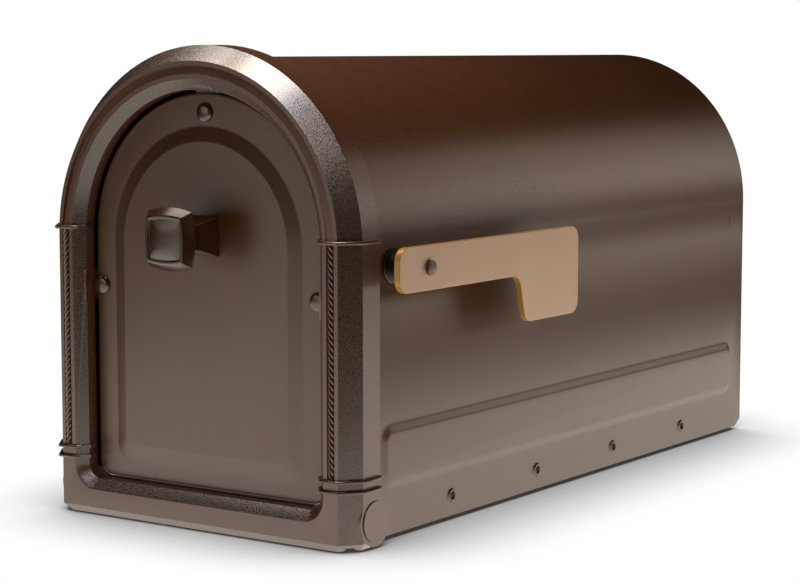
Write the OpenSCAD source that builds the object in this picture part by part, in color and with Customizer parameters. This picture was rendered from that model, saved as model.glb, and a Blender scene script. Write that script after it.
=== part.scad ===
// Post-mounted letter box: a rolled steel tunnel with a cast door frame, a pressed door panel,
// a square knob and a turning signal flag. Millimetres, +Z up, the door faces -Y, the flag is on +X.
// Every piece is drawn from the foot of the door frame's face, then moved by from_seat() so that
// the origin is the middle of the mounting board's seat, under the floor plate.

/* [Overall] */
// Height of the door frame
frame_h = 285; // [250:1:330]
// Width of the door frame
frame_w = 228; // [200:1:270]
// Face of the door frame to the back of the box
box_l = 505; // [440:1:600]
// Thickness of the steel sheet
sheet = 1; // [0.8:0.1:1.2]

/* [Door frame] */
// Depth of the frame from front to back
frame_d = 28; // [26:0.5:32]
// Width of the slope round the outside of the frame
edge_w = 9; // [6:0.5:11]
// Depth of the slope round the outside of the frame
edge_d = 11.5; // [8:0.5:14]
// Width of the frame's front face
face_w = 10.5; // [9:0.5:14]
// Width and depth of the slope into the door's opening
throat = 6; // [4:0.5:8]
// Wall of the casting
wall = 3; // [2.5:0.5:3.5]
// Height of the sill, up to the lower edge of the opening
sill_z = 21.5; // [19:0.5:26]
// Radius of the opening's lower corners
corner_r = 8.5; // [6:0.5:12]
// Radius of the hinge ears
ear_r = 14.5; // [12:0.5:15]

/* [Door panel] */
// Depth of the panel's face behind the frame's face
panel_y = 13; // [12:0.5:14]
// Height that the middle field is pressed forward
field_rise = 2.75; // [1.5:0.25:3]
// Width of the border between the opening and the field
border_w = 17.6; // [14:0.2:22]

/* [Body] */
// Gap from the frame's side to the steel body's side
body_inset = 7; // [6.5:0.5:8]
// Pitch of the four screw holes along each side
hole_pitch = 99; // [80:1:110]
// Radius of the side screw holes
hole_r = 2.3; // [1.8:0.1:2.8]
// Height of the top of the raised panel on each side
side_field_top = 67; // [58:1:80]
// Underside of the floor plate above the foot of the frame
seat_z = 24.5; // [24:0.5:26]

/* [Flag] */
// Length of the flag
flag_l = 197; // [150:1:230]
// Height of the flag's arm
flag_arm_h = 25.8; // [20:0.2:30]
// Height of the flag from its top edge to the foot of its tab
flag_h = 54.7; // [40:0.5:65]
// Thickness of the flag
flag_t = 4; // [2:0.5:5]
// Gap from the box's side to the back of the flag
flag_gap = 21.5; // [18:0.5:26]

/* [Hidden] */
$fn = 96;
skin = 0.5;

// Arch of the frame
frame_r = frame_w / 2;
spring_z = frame_h - frame_r;
face_in = frame_r - edge_w - face_w;
open_r = face_in - throat;
lip = 2.5;
cavity_r = frame_r - 5.5;
edge_slope = edge_w / edge_d;
edge_k = sqrt(1 + edge_slope * edge_slope);

// Foot, collars and rope core of the frame
corner_x = open_r - corner_r;
corner_z = sill_z + corner_r;
foot_bevel_h = 4.5;
foot_bevel_d = 4;
foot_rib_d = 7;
ring_t = 1.6;
collar_z = spring_z + 3.1;
collar_h = 2.4;
foot_ring_z = [33.6, 39.6];
foot_ring_h = 2;
channel_w = 5.2;
channel_d = 0.8;
channel_r = frame_r - edge_w - face_w / 2;
rope_r = 1.4;
rope_y = 0.9;

// Hinge
hinge_y = 23.5;
hinge_z = 15.5;
pin_r = 2.95;
ear_bore_r = 3;
ear_bore_end = frame_r - 1.5;
ear_cap_r = 12;
ear_cap_t = 0.7;
pin_head_r = 6;
pin_head_t = 1.5;
washer_t = 1.1;

// Steel body
shell_r = frame_r - body_inset;
shell_in = shell_r - sheet;
shell_y = 19;
shell_z = 2.5;
shell_end = box_l - sheet;
rim_r = 4.2;
rim_t = 0.9;
hole_z = seat_z - 9.5;
seat_y = box_l / 2 + 8.5;
field_low = 30;
field_front = 38.5;
field_back = box_l - 18;
side_rise = 1.8;
side_run = 4.5;
side_corner_r = 10;
slot_z = spring_z - 19;
slot_l = 11;
slot_w = 1.2;
slot_y = box_l - 22;
rear_flange_y = box_l - 26;
rear_z = 7;
hoop_w = 10;
hoop_l = 16;
hoop_z = seat_z + sheet + 0.5;
floor_lip = 5;

// Door panel, its lugs and its rivets
panel_t = 1.2;
panel_gap = 2;
panel_r = open_r - panel_gap;
panel_z = sill_z + panel_gap;
panel_corner_r = 10;
panel_rim = 3;
field_r = open_r - border_w;
field_run = 9;
field_spring = spring_z - 4;
field_foot = panel_z + 7.5;
field_foot_run = 13;
field_y = panel_y - field_rise;
lug_y = panel_y + 3;
lug_root_y = wall + 2;
lug_t = 3;
lug_w = 18;
lug_reach = 10;
lug_foot = 5;
top_lug_l = 18;
side_lug_l = 11.5;
pad_r = 3;
tongue_low = sill_z - 9;
tongue_h = 11.5;
rivet_r = 5.8;
rivet_h = 2.4;
shank_r = 2;
tail_r = 3.4;
tail_t = 1;
top_rivet_z = spring_z + open_r - 13.5;
side_rivet_x = open_r - 6.5;
side_rivet_z = spring_z - 31;
rivet_seats = [[0, top_rivet_z], [side_rivet_x, side_rivet_z], [-side_rivet_x, side_rivet_z]];

// Catch
strike_t = 1.2;
strike_w = 26;
strike_h = 15;
catch_gap = 0.2;
magnet_t = 2.6;
magnet_h = 14;
strap_t = 1.2;
strap_w = 30;
strike_y = lug_y + lug_t;
magnet_y = strike_y + strike_t + catch_gap;
strap_y = magnet_y + magnet_t;
strap_r = shell_in - sheet;
catch_rivet_x = 9;
rivet_sunk = 0.3;

// Knob: its square sections, as distance in front of the field, half width and bow of the sides
knob_z = spring_z + 3;
knob_reach = 35.2;
knob_front = field_y - knob_reach;
knob_foot = 11.75;
knob_waist = 6.3;
knob_brow = 16.3;
knob_rim = 12.4;
knob_skin = 0.2;
knob_cuts = [
    [knob_skin, knob_foot, 0.2], [1.2, knob_foot, 0.2], [8, 8.15, 0.2], [17, knob_waist, 0.2],
    [knob_reach - 13.4, knob_waist, 0.2], [knob_reach - 8.4, 12.8, 1.5],
    [knob_reach - 5.4, knob_brow, 2.2], [knob_reach - knob_skin, knob_rim, 1.6]
];
knob_screw_head_r = 4.5;
knob_screw_head_t = 2.8;
knob_washer_r = 8;
knob_washer_t = 1;
dish_half = 10.9;
dish_depth = 1.5;
dish_r = 79;
knob_bore_r = 2.5;
knob_bore_l = 12;

// Flag and its pivot
pivot_y = 50.8;
pivot_z = spring_z - 11.6;
flag_x = shell_r + flag_gap;
flag_tail = 29.7;
flag_tab_l = 70;
flag_tab_lean = 7.3;
flag_round = 8;
flag_bore_r = 2.55;
screw_r = 2.5;
screw_head_r = 4.3;
screw_head_t = 2.2;
play = 0.1;
boss_foot_r = 10.3;
boss_r = 6.9;
boss_neck_r = 4.6;
boss_foot_t = 1.2;
boss_l = 5.2;
flag_washer_r = 6.5;
flag_washer_t = 0.8;
nut_af = 8;
nut_t = 4;

// ---------- helpers ----------

module from_seat() {
    translate([0, -seat_y, -seat_z]) children();
}

module both_sides() {
    children();
    mirror([1, 0, 0]) children();
}

// An outline in X and Z, thickened towards the back
module toward_back(y, t) {
    translate([0, y + t, 0]) rotate([90, 0, 0]) linear_extrude(t) children();
}

// An outline in Y and Z, thickened towards +X
module toward_right(x, t) {
    translate([x, 0, 0]) rotate([90, 0, 90]) linear_extrude(t) children();
}

// A section of radius and depth, swept over the arch
module over_arch(centre_z = spring_z) {
    translate([0, 0, centre_z]) rotate([-90, 0, 0]) rotate_extrude(angle = 180, start = 180) children();
}

// A round bar along Y
module bar_y(x, z, r, y, l) {
    translate([x, y + l, z]) rotate([90, 0, 0]) cylinder(r = r, h = l);
}

// A round bar along X
module bar_x(y, z, r, x, l) {
    translate([x, y, z]) rotate([0, 90, 0]) cylinder(r = r, h = l);
}

// A solid tunnel: half a disc over a straight-sided block
module tunnel(r, z, y, l) {
    over_arch() translate([0, y]) square([r, l]);
    translate([-r, y, z]) cube([2 * r, l, spring_z - z]);
}

// A tunnel-shaped sheet, open below and at both ends
module tunnel_sheet(r, t, z, y, l) {
    difference() {
        tunnel(r, z, y, l);
        tunnel(r - t, z - 1, y - 1, l + 2);
    }
}

// A round-cornered pressing with sloping sides, rising along +Z from a skirt of depth skin
module pressing(l, h, r, rise, run) {
    a = l / 2 - r;
    b = h / 2 - r;
    slope = [[0, -skin], [r, -skin], [r, 0], [r - run, rise], [0, rise]];
    translate([-a, -b, -skin]) cube([2 * a, 2 * b, rise + skin]);
    for (q = [0:3]) {
        corner = [(q == 0 || q == 3) ? a : -a, (q < 2) ? b : -b];
        side = (q % 2 == 0) ? b : a;
        translate(corner) rotate([0, 0, 90 * q]) rotate_extrude(angle = 90) polygon(slope);
        rotate([0, 0, 90 * q]) translate([(q % 2 == 0) ? a : b, side, 0])
            rotate([90, 0, 0]) linear_extrude(2 * side) polygon(slope);
    }
}

// ---------- door frame ----------

// Place on the outer slope, and on the throat's slope, of a surface moved out by s
function edge_at(y, s) = frame_r - edge_w + edge_slope * y + s * edge_k;
function edge_depth(r, s) = (r - frame_r + edge_w - s * edge_k) / edge_slope;
function throat_at(y, s) = face_in - y - s * sqrt(2);
function throat_depth(r, s) = face_in - r - s * sqrt(2);

// Inside of the casting, from the lip round to the back edge
inner_edge = [
    [open_r + lip, throat_depth(open_r + lip, -lip)],
    [throat_at(wall, -lip), wall],
    [edge_at(wall, -wall), wall],
    [cavity_r, edge_depth(cavity_r, -wall)],
    [cavity_r, frame_d]
];

// Section of the frame in radius and depth; t thickens its visible sides for a collar
module frame_section(t = 0) {
    lip_end = panel_y - 2 * t;
    polygon(concat([
        [frame_r + t, frame_d],
        [frame_r + t, edge_depth(frame_r + t, t)],
        [edge_at(-t, t), -t],
        [throat_at(-t, t), -t],
        [open_r - t, throat_depth(open_r - t, t)],
        [open_r - t, lip_end],
        [open_r + lip, lip_end]
    ], inner_edge));
}

// Section of the throat, as distance outside the opening's edge and depth
throat_section = [
    [throat + 1.5, 0], [throat, 0], [0, throat], [0, panel_y], [lip, panel_y],
    [lip, throat_depth(open_r + lip, -lip)], [throat_at(wall, -lip) - open_r, wall], [throat + 1.5, wall]
];

// The lower part of the frame: front plate, side walls, sill and the sill's round corners
module frame_foot() {
    plate_x = frame_r - edge_w;
    toward_back(0, wall) difference() {
        translate([-plate_x, 0]) square([2 * plate_x, corner_z]);
        translate([-corner_x, sill_z - throat]) square([2 * corner_x, corner_z]);
        for (s = [-1, 1]) translate([s * corner_x, corner_z]) circle(corner_r + throat);
    }
    toward_right(-corner_x, 2 * corner_x) polygon([for (p = throat_section) [p[1], sill_z - p[0]]]);
    translate([corner_x, 0, corner_z]) rotate([-90, 0, 0]) rotate_extrude(angle = 90)
        polygon([for (p = throat_section) [corner_r + p[0], p[1]]]);
    translate([-corner_x, 0, corner_z]) rotate([-90, 0, 0]) rotate_extrude(angle = 90, start = 90)
        polygon([for (p = throat_section) [corner_r + p[0], p[1]]]);
    both_sides() linear_extrude(corner_z) polygon([
        [frame_r, frame_d], [frame_r, edge_d], [plate_x, 0], [plate_x - 1.5, 0], [plate_x - 1.5, wall],
        inner_edge[2], inner_edge[3], inner_edge[4]
    ]);
    toward_right(-plate_x, 2 * plate_x)
        polygon([[0, 0], [foot_rib_d, 0], [foot_rib_d, wall], [wall, foot_rib_d], [0, foot_rib_d]]);
}

// What the bevel round the foot leaves: the plan of the frame, drawn in towards the ground
module foot_bevel() {
    plan = [
        [-frame_r, frame_d + 1], [-frame_r, edge_d], [edge_w - frame_r, 0],
        [frame_r - edge_w, 0], [frame_r, edge_d], [frame_r, frame_d + 1]
    ];
    inset = [for (p = plan) [p[0] - sign(p[0]) * foot_bevel_d, p[1] + (p[1] > frame_d ? 0 : foot_bevel_d)]];
    hull() {
        translate([0, 0, foot_bevel_h]) linear_extrude(corner_z) polygon(plan);
        linear_extrude(0.01) polygon(inset);
    }
}

// Clears the side wall behind the ear so that only the round ear is left there
module heel_cut() {
    toward_right(-frame_r - 1, frame_w + 2) difference() {
        translate([hinge_y, -1]) square([frame_d, hinge_z + 1]);
        translate([hinge_y, hinge_z]) circle(ear_r);
    }
}

// One lug behind the opening's edge, reaching in to carry a rivet
module lug(reach, l) {
    translate([-lug_w / 2, lug_y, -reach]) cube([lug_w, lug_t, reach + l]);
    translate([-lug_w / 2, lug_root_y, l - lug_foot]) cube([lug_w, lug_y + lug_t - lug_root_y, lug_foot]);
    bar_y(0, 0, pad_r, panel_y + panel_t, lug_y - panel_y - panel_t);
}

module door_frame() {
    color("#5b4a40") from_seat() difference() {
        union() {
            over_arch() frame_section();
            both_sides() translate([0, 0, corner_z]) linear_extrude(spring_z - corner_z) frame_section();
            difference() {
                intersection() {
                    frame_foot();
                    foot_bevel();
                }
                heel_cut();
            }
            both_sides() {
                bar_x(hinge_y, hinge_z, ear_r, cavity_r, frame_r - cavity_r);
                bar_x(hinge_y, hinge_z, ear_cap_r, frame_r, ear_cap_t);
                for (z = foot_ring_z) translate([0, 0, z]) linear_extrude(foot_ring_h) frame_section(ring_t);
                translate([0, 0, collar_z]) linear_extrude(collar_h) frame_section(ring_t);
            }
            translate([0, 0, top_rivet_z]) lug(lug_reach, top_lug_l);
            both_sides() translate([side_rivet_x, 0, side_rivet_z]) rotate([0, 90, 0]) lug(lug_reach, side_lug_l);
        }
        over_arch() translate([channel_r - channel_w / 2, -1]) square([channel_w, channel_d + 1]);
        both_sides() translate([channel_r - channel_w / 2, -1, foot_ring_z[1] + foot_ring_h])
            cube([channel_w, channel_d + 1, collar_z - foot_ring_z[1] - foot_ring_h]);
        both_sides() bar_x(hinge_y, hinge_z, ear_bore_r, cavity_r - 1, ear_bore_end - cavity_r + 1);
        for (s = rivet_seats) bar_y(s[0], s[1], shank_r, panel_y, 10);
    }
    color("#6b584b") from_seat() both_sides()
        translate([channel_r, rope_y, foot_ring_z[1] + foot_ring_h / 2])
            cylinder(r = rope_r, h = collar_z - foot_ring_z[1]);
}

// ---------- door panel ----------

// Outline of the panel, drawn in by s
module panel_outline(s = 0) {
    r = panel_r - s;
    low = panel_z + s;
    c = panel_corner_r - s;
    intersection() {
        translate([0, spring_z]) circle(r);
        translate([-r, spring_z]) square([2 * r, r]);
    }
    translate([-r, low + c]) square([2 * r, spring_z - low - c]);
    translate([c - r, low]) square([2 * (r - c), c]);
    for (s = [-1, 1]) translate([s * (r - c), low + c]) circle(c);
}

// The pressed field: an arch with sloping sides and a longer slope at its foot
module field() {
    r_in = field_r - field_run;
    over_arch(field_spring) polygon([[0, field_y], [r_in, field_y], [field_r, panel_y], [0, panel_y]]);
    intersection() {
        translate([0, 0, field_foot]) linear_extrude(field_spring - field_foot)
            polygon([[-field_r, panel_y], [-r_in, field_y], [r_in, field_y], [field_r, panel_y]]);
        toward_right(-field_r, 2 * field_r) polygon([
            [panel_y, field_foot], [field_y, field_foot + field_foot_run],
            [field_y, field_spring], [panel_y, field_spring]
        ]);
    }
}

module door_panel() {
    color("#5e4a3e") from_seat() difference() {
        union() {
            toward_back(panel_y, panel_t) panel_outline();
            toward_back(panel_y, panel_rim) difference() {
                panel_outline();
                panel_outline(panel_t);
            }
            field();
            translate([panel_corner_r - panel_r, panel_y + panel_rim - panel_t, tongue_low])
                cube([2 * (panel_r - panel_corner_r), panel_t, tongue_h]);
        }
        translate([0, panel_t, 0]) field();
        for (s = rivet_seats) bar_y(s[0], s[1], shank_r, panel_y - 1, panel_t + 2);
        bar_y(0, knob_z, knob_bore_r, field_y - 1, 4);
    }
}

// A domed head on the panel's face with a shank of length l
module dome_rivet(x, z, l) {
    dome_r = (rivet_r * rivet_r + rivet_h * rivet_h) / (2 * rivet_h);
    intersection() {
        translate([x, panel_y + dome_r - rivet_h, z]) sphere(dome_r);
        bar_y(x, z, rivet_r, panel_y - rivet_h, rivet_h);
    }
    bar_y(x, z, shank_r, panel_y, l);
}

module panel_rivets() {
    color("#6a5547") from_seat() {
        dome_rivet(0, top_rivet_z, strike_y + strike_t - panel_y);
        for (s = [-1, 1]) {
            dome_rivet(s * side_rivet_x, side_rivet_z, strike_y - panel_y + tail_t);
            bar_y(s * side_rivet_x, side_rivet_z, tail_r, strike_y, tail_t);
        }
    }
}

module strike_plate() {
    color("silver") from_seat() difference() {
        translate([-strike_w / 2, strike_y, top_rivet_z - strike_h / 2]) cube([strike_w, strike_t, strike_h]);
        bar_y(0, top_rivet_z, shank_r, strike_y - 1, strike_t + 2);
    }
}

// ---------- knob ----------

// A thin square slice across the knob at the distance y in front of the field, its sides bowed out
module knob_slice(y, half, bow) {
    r = (half * half + bow * bow) / (2 * bow);
    translate([0, field_y - y, knob_z]) rotate([90, 0, 0])
        linear_extrude(2 * knob_skin, center = true)
            intersection_for (a = [0:90:270]) rotate(a) translate([half + bow - r, 0]) circle(r, $fn = 128);
}

module door_knob() {
    color("#4a362a") from_seat() difference() {
        for (i = [0:len(knob_cuts) - 2]) hull() {
            for (c = [knob_cuts[i], knob_cuts[i + 1]]) knob_slice(c[0], c[1], c[2]);
        }
        intersection() {
            translate([-dish_half, knob_front - 1, knob_z - dish_half]) cube(2 * dish_half);
            translate([0, knob_front + dish_depth - dish_r, knob_z]) sphere(dish_r, $fn = 128);
        }
        bar_y(0, knob_z, knob_bore_r, field_y - knob_bore_l, knob_bore_l + 1);
    }
}

module knob_washer() {
    color("silver") from_seat() difference() {
        bar_y(0, knob_z, knob_washer_r, field_y + panel_t, knob_washer_t);
        bar_y(0, knob_z, knob_bore_r, field_y, 2 * panel_t + knob_washer_t);
    }
}

// A pan head with a cross recess behind the panel
module knob_screw() {
    head_y = field_y + panel_t + knob_washer_t;
    tip = field_y - knob_bore_l + 2;
    color("silver") from_seat() difference() {
        union() {
            bar_y(0, knob_z, knob_bore_r, tip, head_y - tip);
            bar_y(0, knob_z, knob_screw_head_r, head_y, knob_screw_head_t);
        }
        for (a = [0, 90]) translate([0, head_y + knob_screw_head_t, knob_z]) rotate([0, a, 0])
            cube([1, knob_screw_head_t, knob_screw_head_r + 0.5], center = true);
    }
}

// ---------- steel body ----------

// The raised panel on both sides, moved out by s
module side_fields(s) {
    l = field_back - field_front;
    h = side_field_top - field_low;
    both_sides() translate([shell_r + s, (field_front + field_back) / 2, (field_low + side_field_top) / 2])
        rotate([90, 0, 90]) pressing(l, h, side_corner_r, side_rise, side_run);
}

module body_shell() {
    color("#5a463a") from_seat() difference() {
        union() {
            tunnel_sheet(shell_r, sheet, shell_z, shell_y, shell_end - shell_y);
            side_fields(0);
            both_sides() for (i = [-1.5:1.5])
                bar_x(seat_y + i * hole_pitch, hole_z, rim_r, shell_in + skin, sheet - skin + rim_t);
        }
        side_fields(-sheet);
        both_sides() for (i = [-1.5:1.5])
            bar_x(seat_y + i * hole_pitch, hole_z, hole_r, shell_in - 1, sheet + rim_t + 2);
        both_sides() bar_x(hinge_y, hinge_z, ear_bore_r, shell_in - 1, sheet + 2);
        both_sides() translate([shell_in - 1, slot_y, slot_z]) cube([sheet + 2, slot_w, slot_l]);
        bar_x(pivot_y, pivot_z, screw_r, shell_in - 1, sheet + 2);
        toward_right(-shell_r - 1, 2 * shell_r + 2)
            polygon([[shell_end - 7, shell_z - 1], [shell_end + 1, shell_z - 1], [shell_end + 1, rear_z]]);
    }
}

module rear_panel() {
    color("#54433a") from_seat() {
        tunnel(shell_r, rear_z, shell_end, sheet);
        tunnel_sheet(shell_in, sheet, field_low, rear_flange_y, shell_end - rear_flange_y);
        both_sides() translate([shell_in - sheet, slot_y + 0.1, slot_z + 0.1])
            cube([2 * sheet, slot_w - 0.2, slot_l - 0.2]);
    }
}

module floor_plate() {
    low_front = shell_y + sheet + 1;
    color("#6e5c50") from_seat() {
        translate([sheet - shell_in, low_front, seat_z])
            cube([2 * (shell_in - sheet), shell_end - low_front, sheet]);
        both_sides() translate([shell_in - sheet, shell_y + hoop_l + 1, seat_z])
            cube([sheet, rear_flange_y - shell_y - hoop_l - 4, floor_lip]);
    }
}

module mouth_hoop() {
    color("#4e3f36") from_seat() {
        tunnel_sheet(shell_in, sheet, hoop_z, shell_y, hoop_l);
        tunnel_sheet(shell_in, hoop_w, hoop_z, shell_y, sheet);
    }
}

module hinge_pin_right() {
    color("silver") from_seat() {
        bar_x(hinge_y, hinge_z, pin_r, shell_in, ear_bore_end - 0.4 - shell_in);
        bar_x(hinge_y, hinge_z, pin_head_r, shell_in - pin_head_t, pin_head_t);
    }
}

module hinge_pin_left() {
    mirror([1, 0, 0]) hinge_pin_right();
}

module hinge_washer_right() {
    color("white") from_seat() difference() {
        bar_x(hinge_y, hinge_z, 6.5, shell_r, washer_t);
        bar_x(hinge_y, hinge_z, ear_bore_r, shell_r - 1, washer_t + 2);
    }
}

module hinge_washer_left() {
    mirror([1, 0, 0]) hinge_washer_right();
}

// ---------- catch ----------

module catch_bracket() {
    foot_z = top_rivet_z - strike_h / 2 - 1.5;
    strap_in = foot_z - spring_z - strap_w / 2;
    color("silver") from_seat() difference() {
        intersection() {
            over_arch() polygon([
                [strap_in, strap_y], [strap_r, strap_y], [strap_r, shell_y + hoop_l],
                [strap_r - strap_t, shell_y + hoop_l], [strap_r - strap_t, strap_y + strap_t],
                [strap_in, strap_y + strap_t]
            ]);
            translate([-strap_w / 2, 0, foot_z]) cube([strap_w, box_l, frame_r]);
        }
        for (s = [-1, 1]) bar_y(s * catch_rivet_x, top_rivet_z, shank_r, strap_y - 1, strap_t + 2);
    }
}

module catch_magnet() {
    color("#3a3a3c") from_seat() difference() {
        translate([-strike_w / 2, magnet_y, top_rivet_z - magnet_h / 2]) cube([strike_w, magnet_t, magnet_h]);
        for (s = [-1, 1]) bar_y(s * catch_rivet_x, top_rivet_z, shank_r, magnet_y - 1, magnet_t + 2);
    }
}

module catch_rivets() {
    color("silver") from_seat() for (s = [-1, 1]) {
        bar_y(s * catch_rivet_x, top_rivet_z, shank_r, magnet_y + rivet_sunk, magnet_t + strap_t - rivet_sunk);
        bar_y(s * catch_rivet_x, top_rivet_z, tail_r, strap_y + strap_t, tail_t);
    }
}

// ---------- flag ----------

// A washer or drum on the flag's pivot
module pivot_ring(r, bore, x, t) {
    difference() {
        bar_x(pivot_y, pivot_z, r, x, t);
        bar_x(pivot_y, pivot_z, bore, x - 1, t + 2);
    }
}

washer_x = flag_x - play - flag_washer_t;

module flag_standoff() {
    color("#4a3a30") from_seat() {
        pivot_ring(boss_foot_r, screw_r, shell_r, boss_foot_t);
        pivot_ring(boss_r, screw_r, shell_r + boss_foot_t, boss_l - boss_foot_t);
        pivot_ring(boss_neck_r, screw_r, shell_r + boss_l, washer_x - shell_r - boss_l);
    }
}

module flag_washer() {
    color("white") from_seat() pivot_ring(flag_washer_r, screw_r, washer_x, flag_washer_t);
}

module flag_backing_washer() {
    color("silver") from_seat() pivot_ring(9, screw_r, shell_in - sheet, sheet);
}

module flag_nut() {
    x = shell_in - sheet - nut_t;
    color("silver") from_seat() difference() {
        translate([x, pivot_y, pivot_z]) rotate([0, 90, 0]) cylinder(d = nut_af / cos(30), h = nut_t, $fn = 6);
        bar_x(pivot_y, pivot_z, screw_r, x - 1, nut_t + 2);
    }
}

module flag_screw() {
    tip = shell_in - sheet - nut_t - 2;
    head = flag_x + flag_t + play;
    color("#6a4f3e") from_seat() {
        bar_x(pivot_y, pivot_z, screw_r, tip, head - tip);
        bar_x(pivot_y, pivot_z, screw_head_r, head, screw_head_t);
    }
}

// Outline of the flag from its pivot: an arm with a tab under its far end
module flag_outline() {
    tip = flag_l - flag_tail;
    top = flag_arm_h / 2;
    inner = tip - flag_tab_l;
    offset(r = -flag_round) offset(r = 2 * flag_round) offset(r = -flag_round) polygon([
        [-flag_tail, top], [tip, top], [tip, top - flag_h], [inner + flag_tab_lean, top - flag_h],
        [inner, -top], [-flag_tail, -top]
    ]);
}

module flag() {
    color("#b49a83") from_seat() difference() {
        translate([0, pivot_y, pivot_z]) toward_right(flag_x, flag_t) flag_outline();
        bar_x(pivot_y, pivot_z, flag_bore_r, flag_x - 1, flag_t + 2);
    }
}

body_shell();
rear_panel();
floor_plate();
mouth_hoop();
hinge_pin_right();
hinge_pin_left();
hinge_washer_right();
hinge_washer_left();
catch_bracket();
catch_magnet();
catch_rivets();
flag_standoff();
flag_screw();
flag_washer();
flag_backing_washer();
flag_nut();
door_frame();
door_panel();
panel_rivets();
strike_plate();
door_knob();
knob_screw();
knob_washer();
flag();
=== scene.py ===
from math import asin, cos, degrees, pi, radians, sin

import bmesh
import bpy
from mathutils import Matrix, Vector


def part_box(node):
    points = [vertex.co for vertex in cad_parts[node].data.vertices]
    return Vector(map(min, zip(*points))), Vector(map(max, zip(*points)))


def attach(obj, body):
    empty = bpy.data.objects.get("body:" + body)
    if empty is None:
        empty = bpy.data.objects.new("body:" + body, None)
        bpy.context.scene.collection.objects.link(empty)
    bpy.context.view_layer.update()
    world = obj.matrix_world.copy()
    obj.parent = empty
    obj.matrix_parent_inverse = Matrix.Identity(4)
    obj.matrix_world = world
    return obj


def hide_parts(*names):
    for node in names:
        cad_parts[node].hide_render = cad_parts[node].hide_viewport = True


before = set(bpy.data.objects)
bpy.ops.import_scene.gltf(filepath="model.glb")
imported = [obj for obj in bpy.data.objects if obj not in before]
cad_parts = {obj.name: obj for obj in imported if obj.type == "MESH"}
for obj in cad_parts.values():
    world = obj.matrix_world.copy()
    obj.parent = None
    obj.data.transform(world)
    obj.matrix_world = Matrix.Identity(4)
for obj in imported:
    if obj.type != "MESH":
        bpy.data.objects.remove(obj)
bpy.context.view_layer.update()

# ---------- sizes in millimetres, from the foot of the door frame's face ----------

MM = 0.001
SPRING = 171            # height at which the straight sides meet the arch
BODY_R = 107            # outside of the tunnel
BODY_FRONT, BODY_BACK = 19, 504
BODY_FOOT = 2.5
SHEET = 1
ROLL_LINE_Z = 147.3     # where the flat side meets the rolled top
HOLE_Z = 15
HOLES_Y = (112.5, 211.5, 310.5, 409.5)
PANEL_Y = 13            # face of the door panel behind the frame's face
PANEL_R = 86.5
PANEL_LOW = 22.6        # the panel's lower edge
PANEL_SHEET = 1.2
FIELD_Y = 10.25         # face of the panel's pressed field
FIELD_SPRING = SPRING - 4
RIVETS = (("top", 0, 246), ("right", 82, 140), ("left", -82, 140))
KNOB_Z = 174
KNOB_REACH = 35.2       # from the field to the knob's front
PIVOT_Y, PIVOT_Z = 50.8, 159.4
FLAG_X = 128.5          # inner face of the flag
ROPE_X, ROPE_Y = 99.75, 0.9     # middle of the rope moulding
ROPE_LOW, ROPE_HIGH = 40.6, 175.2
COLLARS_Z = (34.6, 40.6, 175.3)

# The foot of the frame's face, in the frame that every piece shares
foot = Vector((0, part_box("body_shell")[0].y / MM - BODY_FRONT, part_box("door_frame")[0].z / MM))


# ---------- making pieces ----------

def as_piece(name, bm, body, slot, materials, replaces=(), sharp=32, bevel=0, bevel_from=30):
    """Makes a mesh that is already in its place a piece of the part."""
    mesh = bpy.data.meshes.new(name)
    bm.to_mesh(mesh)
    bm.free()
    mesh.polygons.foreach_set("use_smooth", [True] * len(mesh.polygons))
    mesh.set_sharp_from_angle(angle=radians(sharp))
    for material in materials:
        mesh.materials.append(material)
    piece = bpy.data.objects.new(name, mesh)
    bpy.context.scene.collection.objects.link(piece)
    if bevel:
        rounding = piece.modifiers.new("broken_edges", "BEVEL")
        rounding.width = bevel * MM
        rounding.segments = 3
        rounding.limit_method = "ANGLE"
        rounding.angle_limit = radians(bevel_from)
        rounding.harden_normals = True
        rounding.miter_outer = "MITER_ARC"
    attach(piece, body)
    if replaces:
        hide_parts(*replaces)
    return piece


def finish_piece(name, bm, body, slot, materials, **finish):
    """Puts a mesh drawn in millimetres in its place and makes it a piece of the part."""
    bmesh.ops.transform(bm, matrix=Matrix.Scale(MM, 4) @ Matrix.Translation(foot), verts=bm.verts)
    as_piece(name, bm, body, slot, materials, **finish)


def copied(node):
    """A merged copy of a solid's mesh, with its flat faces whole again."""
    bm = bmesh.new()
    bm.from_mesh(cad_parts[node].data)
    bmesh.ops.remove_doubles(bm, verts=bm.verts, dist=1e-6)
    bmesh.ops.dissolve_limit(bm, angle_limit=radians(0.6), verts=bm.verts, edges=bm.edges)
    return bm


def walk(bm, start, *steps):
    """Draws a chain of edges: each step is a straight move, or an arc as (centre, axis, angle, parts)."""
    last = bmesh.ops.create_vert(bm, co=start)["vert"][0]
    for step in steps:
        if len(step) == 3:
            last = bmesh.ops.extrude_vert_indiv(bm, verts=[last])["verts"][0]
            last.co += Vector(step)
        else:
            centre, axis, angle, parts = step
            swept = bmesh.ops.spin(bm, geom=[last], cent=centre, axis=axis, angle=radians(angle),
                                   steps=parts)
            last = [e for e in swept["geom_last"] if isinstance(e, bmesh.types.BMVert)][0]


def closed_walk(bm, start, *steps):
    """A chain of edges that ends where it starts; returns its edges."""
    old_verts, old_edges = set(bm.verts), set(bm.edges)
    walk(bm, start, *steps)
    bmesh.ops.remove_doubles(bm, verts=[v for v in bm.verts if v not in old_verts], dist=0.001)
    return [e for e in bm.edges if e not in old_edges]


def mirrored_x(bm, geom):
    """Adds the other half of a symmetrical shape and joins the two at the middle."""
    bmesh.ops.mirror(bm, geom=geom, matrix=Matrix.Identity(4), merge_dist=0.001, axis="X")


def bridge(bm, *loops):
    """Faces from each loop of edges to the next."""
    for a, b in zip(loops, loops[1:]):
        bmesh.ops.bridge_loops(bm, edges=a + b)


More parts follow.
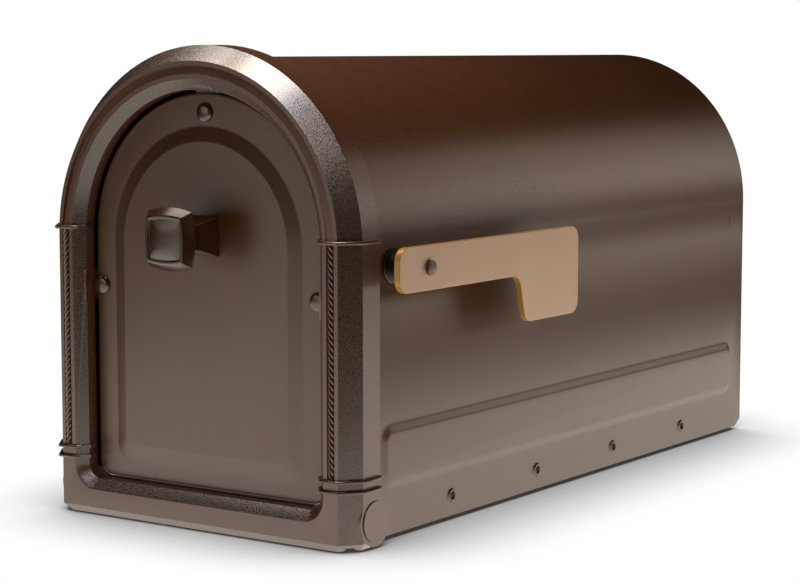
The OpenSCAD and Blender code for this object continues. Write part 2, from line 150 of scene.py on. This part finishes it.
def soften(bm, edges, offset, segments):
    """Rounds the edges of a pressing."""
    bmesh.ops.bevel(bm, geom=edges, offset=offset, segments=segments, affect="EDGES", profile=0.5,
                    material=-1)


def outwards(bm):
    """Turns every face to point out of the shape."""
    bmesh.ops.recalc_face_normals(bm, faces=bm.faces)


def turned(profile, sides):
    """A body of revolution about the X axis; profile is a row of (x, radius)."""
    bm = bmesh.new()
    moves = [(b[0] - a[0], b[1] - a[1], 0) for a, b in zip(profile, profile[1:])]
    walk(bm, (*profile[0], 0), *moves)
    bmesh.ops.spin(bm, geom=bm.verts[:] + bm.edges[:], cent=(0, 0, 0), axis=(1, 0, 0), angle=2 * pi,
                   steps=sides, use_merge=True)
    bmesh.ops.remove_doubles(bm, verts=bm.verts, dist=0.0005)
    return bm


# ---------- materials ----------

def linear(code):
    """An sRGB hex colour as linear red, green, blue and alpha."""
    parts = [int(code[i:i + 2], 16) / 255 for i in (0, 2, 4)]
    return tuple(c / 12.92 if c <= 0.04045 else ((c + 0.055) / 1.055) ** 2.4 for c in parts) + (1,)


def per_mm(size):
    """The noise scale whose features are about that many millimetres across."""
    return 1 / (size * MM)


def add(owner, kind, links=None, **settings):
    """Adds a shader node with its settings, and values or links on its inputs."""
    node = owner.node_tree.nodes.new("ShaderNode" + kind)
    for name, value in settings.items():
        setattr(node, name, value)
    for socket, value in (links or {}).items():
        if isinstance(value, bpy.types.NodeSocket):
            owner.node_tree.links.new(value, node.inputs[socket])
        else:
            node.inputs[socket].default_value = value
    return node


def new_material(name):
    """A material with nothing in it."""
    material = bpy.data.materials.new(name)
    material.use_nodes = True
    material.node_tree.nodes.clear()
    return material


def coated(name, deep, pale, roughness, grain, depth, metallic=0.0, mottle=45, spread=0.06, specular=0.5):
    """A coated or bare metal or moulding: two near shades and a fine skin that also spreads the roughness.

    The mottle is the width of the clouds of shade, the grain the width of the skin's bumps and the depth
    their height, all in millimetres.
    """
    m = new_material(name)
    place = add(m, "TexCoord").outputs["Object"]
    cloud = add(m, "TexNoise", {"Vector": place, "Scale": per_mm(mottle), "Detail": 3.0}).outputs["Fac"]
    skin = add(m, "TexNoise", {"Vector": place, "Scale": per_mm(grain), "Detail": 2.0}).outputs["Fac"]
    both = add(m, "Mix", {"Factor": 0.4, "A": cloud, "B": skin}).outputs["Result"]
    shades = add(m, "ValToRGB", {"Fac": both})
    for stop, position, code in zip(shades.color_ramp.elements, (0.3, 0.7), (deep, pale)):
        stop.position = position
        stop.color = linear(code)
    gloss = add(m, "MapRange", {"Value": skin, "From Min": 0.3, "From Max": 0.7,
                                "To Min": roughness - spread, "To Max": roughness + spread})
    bump = add(m, "Bump", {"Height": skin, "Strength": 1.0, "Distance": depth * MM})
    surface = add(m, "BsdfPrincipled", {
        "Base Color": shades.outputs["Color"], "Metallic": metallic, "Roughness": gloss.outputs["Result"],
        "Specular IOR Level": specular, "Normal": bump.outputs["Normal"]})
    add(m, "OutputMaterial", {"Surface": surface.outputs["BSDF"]})
    return m


# Bronze powder coat on pressed steel: a deep brown body colour under a satin skin with a faint orange peel
sheet_coat = coated("bronze_powder_coat_on_sheet", "3d2207", "46290c", 0.35, 1.3, 0.003, specular=1.0)
# The same coat on a die casting, where it keeps the grain of the blasted metal
cast_coat = coated("bronze_powder_coat_on_casting", "3e200d", "4a2b17", 0.31, 0.9, 0.006, spread=0.05,
                   specular=1.0)
# The slopes of the casting carry a stipple that catches the light in specks
stippled_coat = coated("bronze_powder_coat_on_stipple", "1a0e08", "46301f", 0.30, 0.7, 0.026, mottle=0.8,
                       spread=0.12, specular=0.9)
# Brown enamel on the small hardware: smoother and glossier
hardware = coated("brown_enamel_hardware", "2e1808", "38220e", 0.2, 0.8, 0.001, spread=0.02, specular=1.0)
# Black oxide on the turned standoff: nearly black, with the soft gloss of oiled steel. The near black of its
# wide flange against the sheet is also painted shade: it stands for the shadow of the flag and boss round
# the pivot
near_black_steel_and_shade = coated("near_black_steel_and_painted_shade", "15110d", "201a14", 0.3, 0.8, 0.003, spread=0.03, specular=0.6)
# Champagne paint with a metal flake, drawn far coarser than life so that it shows; the faces round the
# flag's edge are drawn a deeper gold
champagne = coated("champagne_metallic_paint", "bc9c82", "c5a88f", 0.42, 0.9, 0.006, metallic=0.2)
gold_edge = coated("deeper_gold_edge_faces", "a87a30", "b4883c", 0.35, 1.0, 0.006, metallic=0.3)
# Bright zinc plate: a clear metal gloss with a faint grey bloom
zinc = coated("bright_zinc_plate", "a6a7a3", "c2c3bf", 0.32, 1.5, 0.004, metallic=1.0)
# Natural nylon, moulded: a milky white that is neither dull nor shiny
nylon = coated("natural_nylon", "c8c4b6", "d6d3c8", 0.5, 2.0, 0.01)
# Pressed ferrite: black, dull and slightly granular
ferrite = coated("black_ferrite", "161618", "222225", 0.6, 0.6, 0.03)


# ---------- door frame ----------

def cast_door_frame():
    """The casting, with its slopes stippled; returns the piece."""
    bm = copied("door_frame")
    for face in bm.faces:
        # The large faces that slope, not the small ones of the beads
        sloped = -0.92 < face.normal.y < -0.3 and face.calc_area() > 4 * MM ** 2
        face.material_index = 1 if sloped else 0
    # Round the arch the floor of the channel leans outwards between its two beads
    for vert in bm.verts:
        x, depth, z = vert.co / MM - foot
        past_rope = (x * x + (z - SPRING) ** 2) ** 0.5 - ROPE_X
        if 0.7 < depth < 0.9 and z > SPRING + 6 and abs(past_rope) < 3:
            vert.co.y += (1.1 if past_rope > 0 else -0.7) * MM
    return as_piece("cast_door_frame", bm, "door", "coated_casting", [cast_coat, stippled_coat],
                    replaces=["door_frame"], sharp=30, bevel=0.45, bevel_from=25)


def rope(name, side):
    """Four strands laid round each other, in the channel of one pilaster."""
    strands, strand_r, lay_r = 4, 0.92, 1.36
    length = ROPE_HIGH - ROPE_LOW
    lead = 14.8
    turns = length / lead
    steps_per_turn = 14
    steps = round(turns * steps_per_turn)
    bm = bmesh.new()
    for i in range(strands):
        section = bmesh.ops.create_circle(bm, cap_ends=True, segments=7, radius=strand_r)["verts"]
        lean = Matrix.Rotation(side * radians(30), 4, "X")
        bmesh.ops.transform(bm, matrix=Matrix.Translation((lay_r, 0, 0)) @ lean, verts=section)
        bmesh.ops.rotate(bm, verts=section, cent=(0, 0, 0),
                         matrix=Matrix.Rotation(2 * pi * i / strands, 4, "Z"))
        geom = section + list({g for v in section for g in (*v.link_edges, *v.link_faces)})
        bmesh.ops.spin(bm, geom=geom, cent=(0, 0, 0), axis=(0, 0, 1), dvec=(0, 0, length / steps),
                       angle=-side * turns * 2 * pi, steps=steps)
    bmesh.ops.translate(bm, vec=(side * ROPE_X, ROPE_Y, ROPE_LOW), verts=bm.verts)
    outwards(bm)
    finish_piece(name, bm, "door", "coated_casting", [cast_coat], sharp=50)


def collar_beads(name, side):
    """Round beads along the collars of one pilaster, mitred at its corners."""
    bead_r = 1.1
    # The collar's plan from the throat, over the face and the outer slope, to the back: (x, y)
    plan = ((91.4, 1.4), (93.9, -1.5), (105.7, -1.5), (115.4, 10.9), (115.4, 26.5))
    bm = bmesh.new()
    for z in COLLARS_Z:
        route = [Vector((side * x, y, z)) for x, y in plan]
        legs = [(b - a).normalized() for a, b in zip(route, route[1:])]
        loops = []
        for point, behind, ahead in zip(route, legs[:1] + legs, legs + legs[-1:]):
            along = (behind + ahead).normalized()
            old_edges = set(bm.edges)
            verts = bmesh.ops.create_circle(bm, segments=12, radius=bead_r)["verts"]
            bmesh.ops.scale(bm, vec=(1 / along.dot(ahead), 1, 1), verts=verts)
            turn = Matrix((along.cross((0, 0, 1)), (0, 0, 1), along)).transposed().to_4x4()
            bmesh.ops.transform(bm, matrix=Matrix.Translation(point) @ turn, verts=verts)
            loops.append([e for e in bm.edges if e not in old_edges])
        bridge(bm, *loops)
        for end in (loops[0], loops[-1]):
            bmesh.ops.contextual_create(bm, geom=end)
    outwards(bm)
    finish_piece(name, bm, "door", "coated_casting", [cast_coat], sharp=40)


casting = cast_door_frame()
for label, side in (("right", 1), ("left", -1)):
    rope(f"rope_moulding_{label}", side)
for label, side in (("right", 1), ("left", -1)):
    collar_beads(f"collar_beads_{label}", side)


# ---------- door panel ----------

def arch_outline(bm, half, low, spring, corner, y):
    """A closed arch in the XZ plane; returns its edges."""
    old_geom = set(bm.verts[:] + bm.edges[:])
    walk(bm, (0, y, low), (half - corner, 0, 0),
         ((half - corner, y, low + corner), (0, -1, 0), 90, 6),
         (0, 0, spring - low - corner),
         ((0, y, spring), (0, -1, 0), 90, 32))
    mirrored_x(bm, [g for g in bm.verts[:] + bm.edges[:] if g not in old_geom])
    return [e for e in bm.edges if e not in old_geom]


def door_panel():
    """The pressed panel: a raised arched field, a rolled rim and a tongue along its foot."""
    bm = bmesh.new()
    rim = arch_outline(bm, PANEL_R, PANEL_LOW, SPRING, 9.2, PANEL_Y + 3)
    edge = arch_outline(bm, PANEL_R, PANEL_LOW, SPRING, 9.2, PANEL_Y)
    step = arch_outline(bm, 70.9, 31, FIELD_SPRING, 12, PANEL_Y)
    top = arch_outline(bm, 61.9, 44, FIELD_SPRING, 6, FIELD_Y)
    bridge(bm, rim, edge, step, top)
    bmesh.ops.contextual_create(bm, geom=top)
    soften(bm, edge, 1.8, 4)
    soften(bm, [e for e in step + top if e.is_valid], 0.8, 3)
    outwards(bm)
    bmesh.ops.solidify(bm, geom=bm.faces[:], thickness=PANEL_SHEET)
    tongue = bmesh.ops.create_cube(bm, size=1)["verts"]
    bmesh.ops.scale(bm, vec=(153, PANEL_SHEET, 11), verts=tongue)
    bmesh.ops.translate(bm, vec=(0, PANEL_Y + 2 * PANEL_SHEET, 18.5), verts=tongue)
    finish_piece("pressed_door_panel", bm, "door", "coated_sheet", [sheet_coat], replaces=["door_panel"],
                 sharp=40)


def panel_rivet(label, x, z):
    """A rivet with a nearly flat head that is rounded at its edge."""
    head = ((2.1, 0), (2.0, 3.0), (1.8, 4.4), (1.45, 5.2), (0.9, 5.7), (0.2, 5.8))
    shank = ((-3.5, 5.5), (-3.5, 0))
    bm = turned(head + shank, 40)
    bmesh.ops.rotate(bm, verts=bm.verts, cent=(0, 0, 0), matrix=Matrix.Rotation(-pi / 2, 4, "Z"))
    bmesh.ops.translate(bm, verts=bm.verts, vec=(x, PANEL_Y, z))
    outwards(bm)
    finish_piece(f"panel_rivet_{label}", bm, "door", "bronze_hardware", [hardware],
                 replaces=["panel_rivets"], sharp=35)


door_panel()
for rivet in RIVETS:
    panel_rivet(*rivet)


# ---------- knob ----------

def pillow(bm, y, half, bow):
    """A closed square with bowed sides, round the knob's axis; returns its edges."""
    radius = (half ** 2 + bow ** 2) / (2 * bow)
    inset = half + bow - radius
    turn = 2 * degrees(asin(half / radius))
    sides = [((inset * x, y, KNOB_Z + inset * z), (0, -1, 0), turn, 8)
             for x, z in ((1, 0), (0, 1), (-1, 0), (0, -1))]
    return closed_walk(bm, (half, y, KNOB_Z - half), *sides)


def knob():
    """A square knob: flared foot, slim waist, pyramid-sided head with a rim round its pillowed face."""
    front = FIELD_Y - KNOB_REACH
    # Each cut from the panel forwards: its place, half its width and how far its sides bow
    foot_and_waist = ((FIELD_Y, 11.75, 0.1), (FIELD_Y - 1.0, 11.75, 0.1), (FIELD_Y - 8, 9.0, 0.1),
                      (FIELD_Y - 16, 6.5, 0.1), (FIELD_Y - 22, 6.0, 0.1))
    head = ((front + 8.2, 12.5, 1.5), (front + 6.6, 16.0, 2.3), (front + 5.9, 16.3, 2.4),
            (front + 0.6, 13.2, 1.3))
    rim_and_face = ((front, 12.6, 1.2), (front, 11.6, 1.0), (front + 0.9, 11.1, 1.0),
                    (front + 0.45, 8.2, 1.6), (front + 0.15, 5.4, 1.7), (front + 0.03, 2.8, 1.05),
                    (front, 0.9, 0.35))
    bm = bmesh.new()
    loops = [pillow(bm, *cut) for cut in foot_and_waist + head + rim_and_face]
    bridge(bm, *loops)
    for end in (loops[0], loops[-1]):
        bmesh.ops.contextual_create(bm, geom=end)
    outwards(bm)
    finish_piece("square_door_knob", bm, "door", "bronze_hardware", [hardware], replaces=["door_knob"],
                 sharp=26, bevel=0.6, bevel_from=26)


knob()


# ---------- body ----------

def rounded_rectangle(bm, x, y0, y1, z0, z1, r):
    """A closed round-cornered rectangle in the YZ plane; returns its edges."""
    return closed_walk(
        bm, (x, y0 + r, z0), (0, y1 - y0 - 2 * r, 0),
        ((x, y1 - r, z0 + r), (1, 0, 0), 90, 6), (0, 0, z1 - z0 - 2 * r),
        ((x, y1 - r, z1 - r), (1, 0, 0), 90, 6), (0, y0 - y1 + 2 * r, 0),
        ((x, y0 + r, z1 - r), (1, 0, 0), 90, 6), (0, 0, z0 - z1 + 2 * r),
        ((x, y0 + r, z0 + r), (1, 0, 0), 90, 6))


def circle(bm, x, y, z, r):
    """A circle in the YZ plane; returns its edges."""
    old_edges = set(bm.edges)
    verts = bmesh.ops.create_circle(bm, segments=28, radius=r)["verts"]
    bmesh.ops.rotate(bm, verts=verts, cent=(0, 0, 0), matrix=Matrix.Rotation(pi / 2, 4, "Y"))
    bmesh.ops.translate(bm, verts=verts, vec=(x, y, z))
    return [e for e in bm.edges if e not in old_edges]


def pulled_edges(bm, edges, move):
    """Extrudes a row of edges; returns its new verts and edges."""
    grown = bmesh.ops.extrude_edge_only(bm, edges=edges)["geom"]
    verts = [g for g in grown if isinstance(g, bmesh.types.BMVert)]
    bmesh.ops.translate(bm, verts=verts, vec=move)
    return verts, [e for e in bm.edges if all(v in verts for v in e.verts)]


def tunnel_body():
    """The rolled tunnel with a pressed panel, dimpled screw holes and a faint roll line on each side."""
    nick_back, nick_up = 7, 4.5
    line_step, line_rise = 0.4, 0.8
    bm = bmesh.new()
    border = closed_walk(
        bm, (BODY_R, BODY_FRONT, BODY_FOOT),
        (0, BODY_BACK - nick_back - BODY_FRONT, 0), (0, nick_back, nick_up),
        (0, 0, ROLL_LINE_Z - BODY_FOOT - nick_up), (0, BODY_FRONT - BODY_BACK, 0),
        (0, 0, BODY_FOOT - ROLL_LINE_Z))
    panel_foot = rounded_rectangle(bm, BODY_R, 38.5, 487, 30, 67, 10)
    panel_crest = rounded_rectangle(bm, BODY_R + 1.8, 43, 482.5, 34.5, 62.5, 6)
    holes = []
    for y in HOLES_Y:
        # Each hole's lip rises from the sheet, turns over and goes in: (out from the sheet, radius)
        lip = [circle(bm, BODY_R + out, y, HOLE_Z, r)
               for out, r in ((0, 4.4), (0.75, 3.7), (0.9, 3.2), (0.7, 2.5), (-0.3, 2.3))]
        bridge(bm, *lip)
        holes += lip[0]
    bmesh.ops.triangle_fill(bm, edges=border + panel_foot + holes, use_beauty=True)
    bridge(bm, panel_foot, panel_crest)
    bmesh.ops.contextual_create(bm, geom=panel_crest)
    soften(bm, [e for e in panel_foot + panel_crest if e.is_valid], 1.3, 3)
    # The roll line is a narrow step where the flat side meets the rolled top
    edges = [e for e in bm.edges if all(abs(v.co.z - ROLL_LINE_Z) < 0.01 for v in e.verts)]
    verts, edges = pulled_edges(bm, edges, (-line_step, 0, line_rise))
    verts, edges = pulled_edges(bm, edges, (line_step, 0, SPRING - ROLL_LINE_Z - line_rise))
    bmesh.ops.spin(bm, geom=verts + edges, cent=(0, 0, SPRING), axis=(0, -1, 0), angle=pi / 2, steps=48)
    mirrored_x(bm, bm.verts[:] + bm.edges[:] + bm.faces[:])
    bmesh.ops.remove_doubles(bm, verts=bm.verts, dist=0.002)
    outwards(bm)
    bmesh.ops.solidify(bm, geom=bm.faces[:], thickness=SHEET)
    finish_piece("tunnel_body", bm, "box", "coated_sheet", [sheet_coat], replaces=["body_shell"], sharp=30)


tunnel_body()
for node, rounding in (("rear_panel", 0.4), ("floor_plate", 0.25), ("mouth_hoop", 0.25)):
    as_piece(node + "_piece", copied(node), "box", "coated_sheet", [sheet_coat], replaces=[node],
             bevel=rounding)


# ---------- flag ----------

def signal_flag():
    """The flag's blade: champagne on its broad faces and a deeper gold on the faces round its edge."""
    bm = copied("flag")
    for face in bm.faces:
        # Faces that do not face sideways take the deeper gold
        face.material_index = 0 if abs(face.normal.x) > 0.7 else 1
    as_piece("signal_flag_blade", bm, "signal_flag", "champagne", [champagne, gold_edge], replaces=["flag"],
             sharp=30, bevel=0.5, bevel_from=40)


def on_pivot(name, profile, material, replaces):
    """A turned piece on the flag's axis; profile is a row of (x, radius)."""
    bm = turned(profile, 48)
    bmesh.ops.translate(bm, verts=bm.verts, vec=(0, PIVOT_Y, PIVOT_Z))
    outwards(bm)
    finish_piece(name, bm, "box", "bronze_hardware", [material], replaces=[replaces], sharp=30)


signal_flag()
# A flange on the sheet, a boss with a bead, and the barrel that ends at the flag's washer; the flange is
# drawn near black as painted shade, the shadow of the flag and boss on the sheet round the pivot
flange = ((BODY_R, 2.5), (BODY_R, 10.3), (BODY_R + 0.9, 10.3), (BODY_R + 1.2, 10.0))
boss = ((BODY_R + 1.2, 6.9), (BODY_R + 4.2, 6.9), (BODY_R + 4.4, 7.3), (BODY_R + 5.0, 7.3),
        (BODY_R + 5.2, 7.0), (BODY_R + 5.2, 4.8))
barrel = ((BODY_R + 5.5, 4.6), (FLAG_X - 0.9, 4.6), (FLAG_X - 0.9, 2.5), (BODY_R, 2.5))
on_pivot("flag_standoff_turned", flange + boss + barrel, near_black_steel_and_shade, "flag_standoff")
# The shank, from its tip inside the box, and the flat head
head_x = FLAG_X + 4.1
shank = ((BODY_R - 8, 0), (BODY_R - 8, 2.2), (BODY_R - 7.7, 2.5), (head_x, 2.5))
screw_head = ((head_x, 4.3), (head_x + 0.2, 4.4), (head_x + 1.75, 4.4), (head_x + 2.0, 4.25),
              (head_x + 2.1, 3.95), (head_x + 2.2, 0))
on_pivot("flag_screw_turned", shank + screw_head, sheet_coat, "flag_screw")


# ---------- the solids that stay ----------

for material, nodes in ((zinc, ("hinge_pin_right", "hinge_pin_left", "catch_bracket", "catch_rivets",
                                "flag_backing_washer", "flag_nut", "strike_plate", "knob_screw",
                                "knob_washer")),
                        (nylon, ("hinge_washer_right", "hinge_washer_left", "flag_washer")),
                        (ferrite, ("catch_magnet",))):
    for node in nodes:
        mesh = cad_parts[node].data
        mesh.materials.clear()
        mesh.materials.append(material)


# ---------- floor ----------

scene = bpy.context.scene
scene.view_settings.view_transform = "Standard"


def staged_sheet(name, size, centre, material):
    """A flat rectangle that faces up, for the studio; returns its object."""
    bm = bmesh.new()
    verts = bmesh.ops.create_grid(bm, x_segments=1, y_segments=1, size=0.5)["verts"]
    bmesh.ops.scale(bm, vec=(*size, 1), verts=verts)
    bmesh.ops.translate(bm, vec=centre, verts=verts)
    mesh = bpy.data.meshes.new(name)
    bm.to_mesh(mesh)
    bm.free()
    mesh.materials.append(material)
    sheet = bpy.data.objects.new(name, mesh)
    scene.collection.objects.link(sheet)
    return sheet


# White paper, as white as the room behind it except for the soft shadow where the box meets it
paper = new_material("white_paper_sweep")
open_sky = add(paper, "AmbientOcclusion", {"Distance": 0.11}, samples=16).outputs["AO"]
shade = add(paper, "MapRange", {"Value": open_sky, "From Min": 0.30, "From Max": 0.92,
                                "To Min": 0.97, "To Max": 0.0})
clear = add(paper, "BsdfTransparent")
dark = add(paper, "Emission", {"Color": linear("1c1a18"), "Strength": 1.0})
paper_look = add(paper, "MixShader", {"Fac": shade.outputs["Result"], 1: clear.outputs["BSDF"],
                                      2: dark.outputs["Emission"]})
add(paper, "OutputMaterial", {"Surface": paper_look.outputs["Shader"]})
floor = staged_sheet("studio_floor", (12, 12), (0, 0, (foot.z - 0.3) * MM), paper)
floor.visible_glossy = False
floor.visible_diffuse = False
floor.visible_shadow = False


# ---------- light ----------

# Points of the box that lamps are aimed at, in metres from the part's origin
MIDDLE = (0, 0, 0.12)
DOOR_TOP = (0, -0.27, 0.2)
casting_only = bpy.data.collections.new("rim_lit")
casting_only.objects.link(casting)


def softbox(name, towards, distance, size, power, aim=MIDDLE, spread=180, colour="ffeedd"):
    """A rectangular area light in the direction given, aimed at a point of the box."""
    data = bpy.data.lights.new(name, "AREA")
    data.shape = "RECTANGLE"
    data.size, data.size_y = size
    data.energy = power
    data.spread = radians(spread)
    data.color = linear(colour)[:3]
    lamp = bpy.data.objects.new(name, data)
    lamp.location = Vector(aim) + Vector(towards).normalized() * distance
    lamp.rotation_euler = Vector(towards).to_track_quat("Z", "Y").to_euler()
    scene.collection.objects.link(lamp)
    return lamp


def casting_shine(name, towards, size, power, colour="fff0e2"):
    """A box of light that only the casting mirrors, round the crown of its arch."""
    lamp = softbox(name, towards, 0.8, size, power, DOOR_TOP, colour=colour)
    lamp.visible_diffuse = False
    lamp.light_linking.receiver_collection = casting_only


def reflector(name, x, y, size, strength):
    """A white card low beside the box that lights it and shows in its gloss, kept out of the picture."""
    glow = new_material(name + "_glow")
    shine = add(glow, "Emission", {"Color": linear("fff6ea"), "Strength": strength})
    add(glow, "OutputMaterial", {"Surface": shine.outputs["Emission"]})
    sheet = staged_sheet(name, size, (x, y, (foot.z - 3) * MM), glow)
    sheet.visible_camera = False
    sheet.visible_shadow = False


# A small key over the door, a dim box over the left side, two wide boxes behind that give the tunnel's right
# side its gloss, and two that fill the right side and the front
softbox("key", (0.0, 0.03, 1.0), 0.75, (0.35, 0.35), 3.9, DOOR_TOP, spread=120)
softbox("top", (-0.5, 0.0, 0.85), 1.2, (0.4, 0.4), 0.6, DOOR_TOP, spread=110)
softbox("right_back", (0.54, 0.82, 0.20), 2.2, (1.1, 0.6), 3.4)
softbox("right_back_mid", (0.45, 0.82, 0.42), 2.2, (0.7, 0.3), 0.9)
softbox("camera_side", (0.85, -0.5, 0.2), 2.0, (0.8, 0.8), 0.2)
softbox("front", (-0.45, -0.9, 0.10), 2.0, (0.8, 0.4), 1.3)

casting_shine("key_shine", (0.10, -0.41, 0.92), (0.40, 0.26), 4.6, colour="ccd9ff")
casting_shine("crown_shine", (-0.3, -0.25, 0.93), (0.3, 0.26), 0.9)
casting_shine("shoulder_shine", (0.40, -0.50, 0.78), (0.26, 0.24), 3)
casting_shine("side_shine", (0.60, -0.55, 0.58), (0.26, 0.24), 2.4)
casting_shine("arch_shine", (-0.52, -0.1, 0.85), (0.25, 0.3), 3.2)

# Strips of lit floor, fainter far from the box
reflector("floor_right_a", 0.205, 0.4, (0.19, 1.5), 1.65)
reflector("floor_right_b", 0.45, 0.4, (0.30, 1.6), 1.6)
reflector("floor_right_c", 0.9, 0.65, (0.6, 1.5), 1.35)
reflector("floor_front_a", -0.15, -0.345, (0.7, 0.25), 1.5)
reflector("floor_front_b", -0.22, -0.62, (0.95, 0.30), 1.65)
reflector("floor_front_c", -0.30, -1.1, (0.95, 0.65), 1.15)
reflector("floor_front_d", -0.75, -2.0, (1.1, 1.1), 0.8)

# The room is white behind the box and dim in its gloss
world = bpy.data.worlds.new("studio")
scene.world = world
world.use_nodes = True
world.node_tree.nodes.clear()
seen = add(world, "Background", {"Color": (1, 1, 1, 1)})
room = add(world, "Background", {"Color": linear("8c8a88"), "Strength": 0.01})
choose = add(world, "MixShader", {"Fac": add(world, "LightPath").outputs["Is Camera Ray"],
                                  1: room.outputs["Background"], 2: seen.outputs["Background"]})
add(world, "OutputWorld", {"Surface": choose.outputs["Shader"]})


# ---------- camera ----------

# A long lens in front of the box and to its right, a little above it
camera_data = bpy.data.cameras.new("camera")
camera_data.sensor_width = 36
camera_data.lens = 98.67
camera = bpy.data.objects.new("camera", camera_data)
camera.location = (0.82284, -1.23570, 0.25891)
turn, dip = radians(34.73), radians(6.35)
gaze = Vector((-sin(turn) * cos(dip), cos(turn) * cos(dip), -sin(dip)))
camera.rotation_euler = gaze.to_track_quat("-Z", "Y").to_euler()
scene.collection.objects.link(camera)
scene.camera = camera
